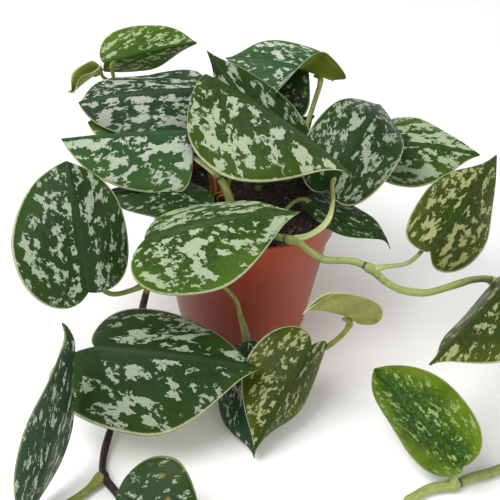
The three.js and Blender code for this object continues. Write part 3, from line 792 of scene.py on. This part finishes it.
def makeStem(name, stem):
    # every run and petiole of one growth, as closed skins that start inside each other
    sizes = stemSizes
    rng = np.random.default_rng(len(name) * 7)
    parts = []
    starts = [route[0] for route in stem["petioles"].values()] + [run[0] for run in stem["sides"]]
    lift = np.array([0.0, 0.15, 1.0])
    runs = [(stem["main"], stem["radius"])]
    runs += [(run, stem["radius"] * sizes["sideShare"]) for run in stem["sides"]]
    for run, size in runs:
        path, distance = curveThrough(run)
        thick = 1.0 + stem["floorSwell"] * (1.0 - smooth(8.0, 40.0, path[:, 2]))
        radii = thick * size * (0.92 + 0.05 * np.sin(distance * 0.21)) * rounded(distance, 2.0, 3.0)
        scars = np.zeros(len(path))
        for start in starts:
            gap = np.linalg.norm(path - np.array(start), axis=1)
            at = gap.argmin()
            if gap[at] > sizes["nodeReach"]:
                continue
            away = distance - distance[at]
            scar = away + sizes["scarPlace"]
            swell = sizes["nodeSwell"] * hill(away, sizes["nodeLength"])
            radii = radii * (1.0 + swell - sizes["scarDepth"] * hill(scar, 0.7))
            scars = np.maximum(scars, hill(scar, 1.0))
            if path[at, 2] <= sizes["rootTop"]:
                parts.append(makeRoot(path[at], rng))
        age = np.full(len(path), sizes["sideAge"])
        if run is stem["main"]:
            age = smooth(0.0, 22.0, stem["darkBelow"] - path[:, 2])
        age = np.maximum(age, scars * 0.7)
        points = sweep(path, lift, radii, ridgedSection, sizes["ringSides"])
        parts.append((points, distance, age, np.full(len(path), stem["fresh"]), sizes["ringSides"]))
    for leafName, route in stem["petioles"].items():
        path, distance = curveThrough(petiolePath(route, leaves[leafName]))
        wing, span = wings.get(leafName, (0.12, 0.35))
        toEnd = distance[-1] - distance
        radii = sizes["petioleRadius"] + sizes["footRadius"] * hill(distance, sizes["footLength"])
        radii = radii * thickPetioles.get(leafName, 1.0) + sizes["neckRadius"] * hill(toEnd - 8.0, 3.0)
        radii = radii * rounded(distance, 1.5, 7.0)

        def section(angle, share, wing=wing, span=span):
            flare = wing * (1.0 - smooth(span * 0.5, span, share)) * smooth(0.0, 0.05, share)
            turned = np.mod(angle + math.pi, 2 * math.pi) - math.pi
            groove = sizes["channelDepth"] * (1.0 + 1.4 * flare) * hill(turned, 0.6)
            return 1.0 + flare * np.abs(np.sin(angle)) ** 6 - groove

        points = sweep(path, lift, radii, section, sizes["ringSides"])
        share = distance / distance[-1]
        pale = stem["fresh"] + 0.5 * wing * (1.0 - smooth(span * 0.6, span, share))
        pale = pale + 0.2 * hill(distance, 6.0)
        age = np.full(len(path), 0.08) + (0.18 if stem["darkBelow"] else 0.0)
        parts.append((points, distance, age, pale, sizes["ringSides"]))
    allPoints, allFaces, places, ages, pales = [], [], [], [], []
    offset = 0
    for points, distance, age, pale, sides in parts:
        allPoints.append(points)
        ends = offset + len(points)
        index = np.arange(len(distance) * sides).reshape(len(distance), sides) + offset
        allFaces += tubeFaces(index, ends - 2, ends - 1)
        turn = np.tile(np.arange(sides) / sides, len(distance))
        place = np.stack([np.repeat(distance, sides), turn, np.zeros(len(turn))], axis=1)
        places.append(np.vstack([place, [[distance[0], 0, 0], [distance[-1], 0, 0]]]))
        ages.append(np.concatenate([np.repeat(age, sides), age[[0, -1]]]))
        pales.append(np.concatenate([np.repeat(pale, sides), pale[[0, -1]]]))
        offset = ends
    points = np.vstack(allPoints)
    points[:, 2] = np.maximum(points[:, 2], 0.3)
    values = {"stemPlace": np.vstack(places), "stemAge": np.concatenate(ages),
        "stemPale": np.concatenate(pales)}
    return makePiece(name + "_growth", points, allFaces, values, stemMaterial, [name])


def makeRoot(start, rng):
    # the nub of an aerial root: a short tapered skin that leaves the lower side of a node
    down = unit(np.array([rng.normal() * 0.6, rng.normal() * 0.6 - 0.2, -0.8]))
    reach = rng.uniform(3.4, 5.2)
    curl = np.array([rng.normal() * 0.8, rng.normal() * 0.8, 0.4])
    run = np.array([start + down * reach * share + curl * share**2 for share in (0.0, 0.35, 0.7, 1.0)])
    run[:, 2] = np.maximum(run[:, 2], 1.2)
    nub, along = curveThrough(run)
    radii = stemSizes["rootRadius"] * (1.3 - 0.7 * along / along[-1]) * rounded(along, 0.5, 1.2)
    sides = stemSizes["rootSides"]
    points = sweep(nub, np.array([0.3, 1.0, 0.2]), radii, roundSection, sides)
    return points, along, np.full(len(nub), 0.75), np.full(len(nub), 0.1), sides


def makeStemMaterial():
    # green skin with fine streaks along the run, paler sheaths with a dry edge, and a dark
    # purple-brown skin with pale flecks where a stem has aged
    material, tree, shader, where = newMaterial("stemSkin", Specular_IOR_Level=0.3)
    place = attribute(tree, "stemPlace", "Vector")
    age = attribute(tree, "stemAge")
    pale = attribute(tree, "stemPale")
    apart = partsOf(tree, place)
    angle = times(tree, apart[1], 2.0 * math.pi)
    drawn = put(tree, "ShaderNodeCombineXYZ", {
        0: times(tree, apart[0], 0.09), 1: calc(tree, "COSINE", angle), 2: calc(tree, "SINE", angle)})
    streaks = noise(tree, drawn.outputs[0], 3.2, 5.0, 0.65)
    spots = noise(tree, where, 520.0, 3.0, 0.6)
    patches = noise(tree, where, 75.0, 3.0, 0.6)
    green = blend(tree, step(tree, patches, 0.3, 0.7), colour(0.12, 0.145, 0.022), colour(0.23, 0.26, 0.050))
    light = plus(tree, pale, times(tree, minus(tree, streaks, 0.5), 0.9))
    green = blend(tree, step(tree, light, 0.25, 1.2), green, colour(0.42, 0.48, 0.21))
    green = blend(tree, times(tree, step(tree, spots, 0.60, 0.70), 0.4), green, colour(0.45, 0.50, 0.25))
    aged = plus(tree, age, times(tree, minus(tree, streaks, 0.5), 0.6))
    brown = blend(tree, step(tree, spots, 0.5, 0.72), colour(0.018, 0.012, 0.014), colour(0.09, 0.05, 0.035))
    skin = blend(tree, step(tree, aged, 0.3, 0.62), green, brown)
    rough = plus(tree, 0.38, times(tree, spots, 0.2))
    height = plus(tree, streaks, times(tree, spots, 0.5))
    wear(tree, shader, skin, rough, height, 0.00025, 0.7)
    return material


stemMaterial = makeStemMaterial()
for stemName, stemGiven in stems.items():
    makeStem(stemName, stemGiven)
print("stems made:", len(stems))


# Pot: a profile in radius and height, turned about the vertical axis, with drain holes cut out.

potSizes = {
    "height": 98.0, "rimRadius": 60.0, "baseRadius": 44.0, "collarHeight": 18.0, "collarStep": 3.0,
    "wall": 2.2, "floor": 3.0, "drainHoles": 6, "drainRadius": 4.0, "drainCircle": 28.0,
    "holeTurn": 0.01, "turns": 192,
}


def filletProfile(corners):
    # each corner is (radius, height, rounding): a rounded corner becomes a short quadratic curve
    # between two points set back by its rounding
    p = np.array([corner[:2] for corner in corners], dtype=float)
    points = [p[0]]
    q = np.linspace(0.0, 1.0, 7)[:, None]
    for before, here, after, corner in zip(p[:-2], p[1:-1], p[2:], corners[1:-1]):
        a = here + unit(before - here) * corner[2]
        b = here + unit(after - here) * corner[2]
        points += list((1 - q) ** 2 * a + 2 * q * (1 - q) * here + q**2 * b)
    return np.array(points + [p[-1]])


def turnProfile(profile, turns):
    # the first and last point lie on the axis and close the skin
    angles = np.arange(turns) * (2.0 * math.pi / turns)
    inner = profile[1:-1]
    ring = np.stack([inner[:, :1] * np.cos(angles), inner[:, :1] * np.sin(angles), inner[:, 1:] + 0 * angles],
        axis=-1)
    points = np.vstack([ring.reshape(-1, 3), [[0, 0, profile[0, 1]], [0, 0, profile[-1, 1]]]])
    index = np.arange(len(inner) * turns).reshape(len(inner), turns)
    return points, tubeFaces(index, len(points) - 2, len(points) - 1)


def cutHoles(piece, holes):
    # cut upright round holes, each (x, y, radius), through the floor
    cutters = []
    for x, y, radius in holes:
        profile = np.array([(0, -2), (radius, -2), (radius, 6), (0, 6)], dtype=float)
        points, faces = turnProfile(profile, 40)
        mesh = bpy.data.meshes.new("cutter")
        mesh.from_pydata(((points + (x, y, 0)) * mm).tolist(), [], faces)
        cutter = addObject("cutter", mesh)
        modifier = piece.modifiers.new("hole", "BOOLEAN")
        modifier.object = cutter
        modifier.solver = "MANIFOLD"
        cutters.append(cutter)
    seen = piece.evaluated_get(bpy.context.evaluated_depsgraph_get())
    cut = bpy.data.meshes.new_from_object(seen)
    piece.modifiers.clear()
    old, piece.data = piece.data, cut
    bpy.data.meshes.remove(old)
    for cutter in cutters:
        mesh = cutter.data
        bpy.data.objects.remove(cutter)
        bpy.data.meshes.remove(mesh)


def makePot():
    sizes = potSizes
    foot = sizes["height"] - sizes["collarHeight"]
    rim, base, wall = sizes["rimRadius"], sizes["baseRadius"], sizes["wall"]
    upper = rim - sizes["collarStep"]
    slope = (upper - base) / foot
    height, floor = sizes["height"], sizes["floor"]
    corners = [
        (0, 0, 0), (base, 0, 1.4), (upper, foot, 0.5), (rim - 1, foot + 0.4, 0.5),
        (rim - 0.25, height - 3.4, 0.4), (rim + 0.2, height - 2.6, 0.4), (rim + 0.2, height, 0.9),
        (rim - wall, height, 0.8), (rim - wall - 0.8, foot + 1, 0.4),
        (base + slope * (foot - 1) - wall, foot - 1, 0.6), (base + slope * floor - wall, floor, 1.2),
        (0, floor, 0)]
    points, faces = turnProfile(filletProfile(corners), sizes["turns"])
    piece = makePiece("pot_shell", points, faces, {}, potMaterial(), ["pot"])
    angles = 2.0 * math.pi * np.arange(sizes["drainHoles"]) / sizes["drainHoles"] + sizes["holeTurn"]
    circle, radius = sizes["drainCircle"], sizes["drainRadius"]
    cutHoles(piece, [(circle * math.cos(a), circle * math.sin(a), radius) for a in angles])


def potMaterial():
    # satin plastic: brick brown, with painted shade making it pinker and darker on the left and painted light
    # making it more orange on the right, with faint upright flow streaks, light scuffs, and soil dust at the
    # lip, the foot and inside
    material, tree, shader, where = newMaterial("potPlastic", Specular_IOR_Level=0.35)
    apart = partsOf(tree, where)
    broad = noise(tree, where, 22.0, 3.0, 0.55)
    # painted light and shade: the base colour runs from a darker pink on the left to a lighter orange on the
    # right
    paintedLightAcross = plus(tree, apart[0], times(tree, minus(tree, broad, 0.5), 0.05))
    body = blend(tree, step(tree, paintedLightAcross, -0.045, 0.04), colour(0.185, 0.036, 0.030),
        colour(0.31, 0.043, 0.012))
    tall = put(tree, "ShaderNodeMapping", {"Vector": where, "Scale": (1.0, 1.0, 0.06)}).outputs[0]
    flow = noise(tree, tall, 260.0, 3.0, 0.6)
    body = blend(tree, times(tree, step(tree, flow, 0.35, 0.75), 0.25), body, colour(0.32, 0.070, 0.042))
    wide = put(tree, "ShaderNodeMapping",
        {"Vector": where, "Rotation": (0.3, 0.5, 0.2), "Scale": (0.08, 1.0, 1.0)}).outputs[0]
    scratch = noise(tree, wide, 900.0, 2.0, 0.5)
    scuff = times(tree, step(tree, scratch, 0.66, 0.74), step(tree, broad, 0.48, 0.62))
    body = blend(tree, times(tree, scuff, 0.35), body, colour(0.45, 0.24, 0.19))
    level = put(tree, "ShaderNodeCombineXYZ", {0: apart[0], 1: apart[1]}).outputs[0]
    radius = put(tree, "ShaderNodeVectorMath", {0: level}, operation="LENGTH").outputs["Value"]
    inside = step(tree, radius, 0.0575, 0.0566)
    low = step(tree, apart[2], 0.016, 0.0)
    high = step(tree, apart[2], 0.0905, 0.082)
    stain = times(tree, times(tree, inside, high), 0.5)
    dust = placeGroup(tree, dirtGroup,
        {"Vector": where, "Share": plus(tree, times(tree, low, 0.12), minus(tree, stain, 0.18))})
    body = blend(tree, times(tree, dust["Dust"], 0.55), body, colour(0.06, 0.036, 0.022))
    rough = plus(tree, 0.36, times(tree, calc(tree, "MAXIMUM", scuff, dust["Dust"]), 0.3))
    grain = placeGroup(tree, grainGroup, {"Vector": where, "Scale": 1400.0})
    height = plus(tree, times(tree, grain["Height"], 0.5), flow)
    wear(tree, shader, body, rough, height, 0.00006, 0.6)
    return material


makePot()
print("pot made")


# Soil: a turned body whose top is crumbled by three sizes of ripple, and loose bits on it.

soilSizes = {
    "foot": 3.3, "footRadius": 41.9, "wallSlope": (54.8 - 42.4) / (79.0 - 3.3), "edgeRadius": 56.5,
    "edgeHeight": 84.9, "middleHeight": 87.4, "crumble": 1.1,
    "rings": 110, "turns": 240, "bits": 900, "barkSize": 1.7, "perliteShare": 0.02,
}


def soilHeight(x, y):
    # the dome, less steep at the middle, with three sizes of ripple
    radius = np.hypot(x, y) / soilSizes["edgeRadius"]
    dome = soilSizes["middleHeight"] - (soilSizes["middleHeight"] - soilSizes["edgeHeight"]) * radius**2
    flat = np.stack([x, y, 0 * x], axis=-1)
    crumbs = ripple(flat, 17.0, 3) * 0.45 + ripple(flat, 6.0, 4) * 0.4 + ripple(flat, 2.4, 5) * 0.3
    return dome + soilSizes["crumble"] * crumbs * (1.0 - radius**8)


def makeSoil():
    sizes = soilSizes
    middleRadius = sizes["footRadius"] + sizes["wallSlope"] * 36.7
    sideHeights = np.array([sizes["foot"], 40.0, 78.0, 80.5])
    sideRadii = np.array([sizes["footRadius"], middleRadius, 54.2, 56.2])
    angles = np.arange(sizes["turns"]) * (2.0 * math.pi / sizes["turns"])
    shares = np.linspace(1.0, 0.0, sizes["rings"], endpoint=False)[:, None] ** 0.8
    x = sizes["edgeRadius"] * shares * np.cos(angles)
    y = sizes["edgeRadius"] * shares * np.sin(angles)
    top = np.stack([x, y, soilHeight(x, y)], axis=-1)
    side = np.stack([sideRadii[:, None] * np.cos(angles), sideRadii[:, None] * np.sin(angles),
                     sideHeights[:, None] + 0 * angles], axis=-1)
    ring = np.vstack([side, top])
    ends = [[0, 0, sizes["foot"]], [0, 0, float(soilHeight(np.zeros(1), np.zeros(1))[0])]]
    points = np.vstack([ring.reshape(-1, 3), ends])
    index = np.arange(len(ring) * sizes["turns"]).reshape(len(ring), sizes["turns"])
    faces = tubeFaces(index, len(points) - 2, len(points) - 1)
    makePiece("soil_mix", points, faces, {}, soilMaterial(), ["soil"])


def makeBits():
    # loose bark, crumbs and perlite: one small ball of 80 faces, stretched, turned and dented
    # differently for each bit by arrays of random numbers
    sizes = soilSizes
    bpy.ops.mesh.primitive_ico_sphere_add(subdivisions=2, radius=1.0)
    seed = bpy.context.object
    ball = np.empty(len(seed.data.vertices) * 3)
    seed.data.vertices.foreach_get("co", ball)
    ball = ball.reshape(-1, 3)
    corners = np.array([face.vertices[:] for face in seed.data.polygons])
    bpy.data.objects.remove(seed)
    rng = np.random.default_rng(11)
    count = sizes["bits"]
    radius = (sizes["edgeRadius"] - 3.0) * np.sqrt(rng.uniform(0.0, 1.0, count))
    angle = rng.uniform(0.0, 2.0 * math.pi, count)
    size = sizes["barkSize"] * rng.uniform(0.25, 1.0, count) ** 1.5
    perlite = rng.uniform(0.0, 1.0, count) < sizes["perliteShare"]
    stretch = np.stack([rng.uniform(0.8, 2.2, count), rng.uniform(0.7, 1.2, count),
        rng.uniform(0.35, 0.8, count)], axis=1)
    stretch[perlite] = 0.8
    x, y = radius * np.cos(angle), radius * np.sin(angle)
    turn = rng.uniform(0.0, 2.0 * math.pi, count)
    tilt = rng.normal(0.0, 0.4, count)
    dents = 1.0 + 0.22 * rng.normal(size=(count, len(ball)))
    p = ball[None] * dents[..., None] * (stretch * size[:, None])[:, None]
    lean = np.stack([p[..., 0] * np.cos(tilt)[:, None] - p[..., 2] * np.sin(tilt)[:, None], p[..., 1],
                     p[..., 0] * np.sin(tilt)[:, None] + p[..., 2] * np.cos(tilt)[:, None]], axis=-1)
    points = np.stack([
        lean[..., 0] * np.cos(turn)[:, None] - lean[..., 1] * np.sin(turn)[:, None] + x[:, None],
        lean[..., 0] * np.sin(turn)[:, None] + lean[..., 1] * np.cos(turn)[:, None] + y[:, None],
        lean[..., 2] + (soilHeight(x, y) + size * 0.15)[:, None]], axis=-1)
    faces = (corners[None] + (np.arange(count) * len(ball))[:, None, None]).reshape(-1, 3).tolist()
    tone = np.where(perlite, 2.0, rng.uniform(0.0, 1.0, count))
    values = {"bitTone": np.repeat(tone, len(ball))}
    makePiece("soil_bits", points.reshape(-1, 3), faces, values, bitMaterial(), [])


def soilMaterial():
    # damp potting mix: near-black crumbs with browner fibres between
    material, tree, shader, where = newMaterial("pottingSoil", Sheen_Weight=0.05)
    crumbs = put(tree, "ShaderNodeTexVoronoi", {"Vector": where, "Scale": 620.0})
    fine = noise(tree, where, 1500.0, 4.0, 0.7)
    broad = noise(tree, where, 120.0, 3.0, 0.6)
    body = blend(tree, step(tree, broad, 0.35, 0.7), colour(0.008, 0.006, 0.005), colour(0.026, 0.016, 0.010))
    body = blend(tree, step(tree, fine, 0.55, 0.75), body, colour(0.07, 0.042, 0.024))
    height = plus(tree, crumbs.outputs["Distance"], fine)
    wear(tree, shader, body, plus(tree, 0.7, times(tree, broad, 0.3)), height, 0.0009, 0.9)
    return material


def bitMaterial():
    # bark from black-brown to tan by the bit's own tone, and white grains where the tone is 2
    material, tree, shader, where = newMaterial("soilBits", Sheen_Weight=0.03)
    tone = attribute(tree, "bitTone")
    fine = noise(tree, where, 1100.0, 4.0, 0.7)
    body = blend(tree, step(tree, tone, 0.35, 1.0), colour(0.012, 0.008, 0.006), colour(0.13, 0.065, 0.030))
    body = blend(tree, step(tree, fine, 0.45, 0.75), body, blend(tree, 0.5, body, colour(0.16, 0.10, 0.06)))
    body = blend(tree, step(tree, tone, 1.4, 1.6), body, colour(0.55, 0.54, 0.50))
    wear(tree, shader, body, plus(tree, 0.65, times(tree, fine, 0.3)), fine, 0.0005, 0.8)
    return material


makeSoil()
makeBits()
print("soil made")


# Dry sheath: a thin dead leaf sheath, rolled into an open gutter that narrows and curls.

sheathSizes = {"thickness": 0.35, "sides": 26}
sheathStrips = [
    {"run": [(-20.0, 6, 86.5), (-20.6, 6, 94), (-21.2, 5.6, 102), (-22.6, 5.2, 108), (-23.4, 4.2, 112.5)],
        "width": 2.7, "wrap": 2.3},
    {"run": [(-20.2, 4, 91), (-17, 2.5, 94.5), (-12.6, 1.2, 96.6), (-9.6, -0.6, 96.2)], "width": 1.9,
        "wrap": 1.9},
]


def makeSheath():
    points, faces, values, offset = [], [], [], 0
    for strip in sheathStrips:
        path, distance = curveThrough(strip["run"])
        tops, across = carriedFrames(path, np.array([0.2, 1.0, 0.1]))
        share = (distance / distance[-1])[:, None]
        width = strip["width"] * (1.0 - 0.62 * share**1.4)
        half = sheathSizes["sides"]
        spread = np.linspace(-1.0, 1.0, half)
        angle = spread[None] * (strip["wrap"] - 0.5 * share)
        crease = 1.0 + 0.07 * np.sin(spread * 19.0)[None] * (0.4 + share) + 0.05 * np.sin(share * 23.0)
        outer = width * crease
        inner = outer - sheathSizes["thickness"]
        angles = np.hstack([angle, angle[:, ::-1]])
        radii = np.hstack([outer, inner[:, ::-1]])
        ring = path[:, None] + radii[..., None] * (
            np.cos(angles)[..., None] * tops[:, None] + np.sin(angles)[..., None] * across[:, None])
        middle = width[[0, -1]] * tops[[0, -1]] * 0.9 + path[[0, -1]]
        index = np.arange(ring.shape[0] * ring.shape[1]).reshape(ring.shape[:2]) + offset
        first = offset + index.size
        faces += tubeFaces(index, first, first + 1)
        points += [ring.reshape(-1, 3), middle]
        values.append(np.concatenate([np.repeat(share[:, 0], ring.shape[1]), [0.0, 1.0]]))
        offset = first + 2
    material, tree, shader, where = newMaterial("drySheath", Sheen_Weight=0.1)
    drawn = put(tree, "ShaderNodeMapping", {"Vector": where, "Scale": (1.0, 1.0, 0.12)}).outputs[0]
    fibres = noise(tree, drawn, 1500.0, 4.0, 0.6)
    broad = noise(tree, where, 160.0, 3.0, 0.6)
    body = blend(tree, step(tree, fibres, 0.35, 0.7), colour(0.30, 0.085, 0.014), colour(0.62, 0.26, 0.055))
    body = blend(tree, step(tree, broad, 0.55, 0.75), body, colour(0.16, 0.06, 0.018))
    tip = times(tree, step(tree, attribute(tree, "sheathShare"), 0.7, 1.0), 0.6)
    body = blend(tree, tip, body, colour(0.20, 0.09, 0.03))
    wear(tree, shader, body, plus(tree, 0.55, times(tree, fibres, 0.3)), fibres, 0.0003, 0.8)
    makePiece("dry_sheath_strips", np.vstack(points), faces, {"sheathShare": np.concatenate(values)},
        material, ["dry_sheath"])


makeSheath()
print("dry sheath made")


# Floor, light and camera.

stageSizes = {"floorWidth": 8.0, "skyStrength": 0.72}
lights = {
    "keyLight": dict(place=(-0.55, -0.35, 1.15), aim=(0.0, -0.05, 0.08), size=0.9, power=15.0,
                     tint=(1.0, 0.985, 0.96)),
    "fillLight": dict(place=(0.9, -0.7, 0.5), aim=(0.0, 0.0, 0.08), size=0.8, power=4.0,
                      tint=(1.0, 0.93, 0.84)),
}
viewSizes = {
    "elevation": 38.0, "distance": 0.627, "target": (0.0042, 0.0, 0.0517), "lens": 66.96,
    "sensorWidth": 36.0, "roll": 1.78,
}


def makeStage():
    half = stageSizes["floorWidth"] / 2.0
    mesh = bpy.data.meshes.new("floor")
    mesh.from_pydata([(-half, -half, 0), (half, -half, 0), (half, half, 0), (-half, half, 0)], [],
        [(0, 1, 2, 3)])
    floor = addObject("floor", mesh)
    material, tree, shader, where = newMaterial("paleFloor", Roughness=0.8)
    soft = noise(tree, where, 3.0, 2.0)
    tree.links.new(blend(tree, soft, colour(0.90, 0.90, 0.90), colour(0.93, 0.93, 0.93)),
        shader.inputs["Base Color"])
    mesh.materials.append(material)
    world = bpy.data.worlds.new("softSky")
    world.use_nodes = True
    world.node_tree.nodes["Background"].inputs["Color"].default_value = colour(0.97, 0.985, 1.0)
    world.node_tree.nodes["Background"].inputs["Strength"].default_value = stageSizes["skyStrength"]
    bpy.context.scene.world = world


def addLight(name, place, aim, size, power, tint):
    lamp = bpy.data.lights.new(name, "AREA")
    lamp.shape = "DISK"
    lamp.size = size
    lamp.energy = power
    lamp.color = tint
    light = addObject(name, lamp)
    light.matrix_world = lookMatrix(np.array(place), np.array(aim), 0.0)


def lookMatrix(place, aim, roll):
    # stands at place and looks at aim; a roll turns the view about its own line, in degrees
    back = unit(place - aim)
    right = unit(np.cross((0.0, 0.0, 1.0), back))
    up = np.cross(back, right)
    c, s = math.cos(math.radians(roll)), math.sin(math.radians(roll))
    turned = np.eye(4)
    turned[:3, 0] = right * c + up * s
    turned[:3, 1] = up * c - right * s
    turned[:3, 2] = back
    turned[:3, 3] = place
    return Matrix(turned.tolist())


def makeCamera():
    rise = math.radians(viewSizes["elevation"])
    target = np.array(viewSizes["target"])
    place = target + viewSizes["distance"] * np.array([0.0, -math.cos(rise), math.sin(rise)])
    lens = bpy.data.cameras.new("camera")
    lens.lens = viewSizes["lens"]
    lens.sensor_width = viewSizes["sensorWidth"]
    camera = addObject("camera", lens)
    camera.matrix_world = lookMatrix(place, target, viewSizes["roll"])
    bpy.context.scene.camera = camera


bpy.context.scene.view_settings.view_transform = "Standard"
makeStage()
for lightName, lightGiven in lights.items():
    addLight(lightName, **lightGiven)
makeCamera()
print("stage made")
